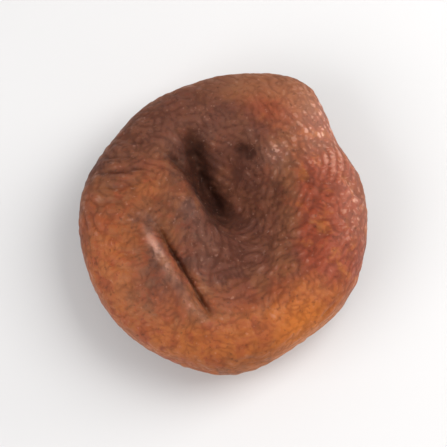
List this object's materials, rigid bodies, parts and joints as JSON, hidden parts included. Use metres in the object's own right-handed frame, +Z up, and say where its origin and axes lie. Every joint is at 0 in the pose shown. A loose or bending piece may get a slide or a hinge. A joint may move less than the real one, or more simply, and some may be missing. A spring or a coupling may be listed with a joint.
{
  "type": "dried apricot",
  "caption": "Whole pitted dried apricot: a flat wrinkled disc with a thick rolled rim round a folded hollow cheek.",
  "frame": {"origin": "on the surface that the fruit rests on, under the middle of its box", "axes": "+Z up through the hollow cheek, -Y towards the front of the picture, +X to its right"},
  "size_m": [0.0374, 0.0398, 0.0138],
  "materials": {
    "dried_skin": "satin, finely wrinkled, orange to brown"
  },
  "bodies": {
    "root": {"apricot": "dried_skin"}
  },
  "joints": []
}
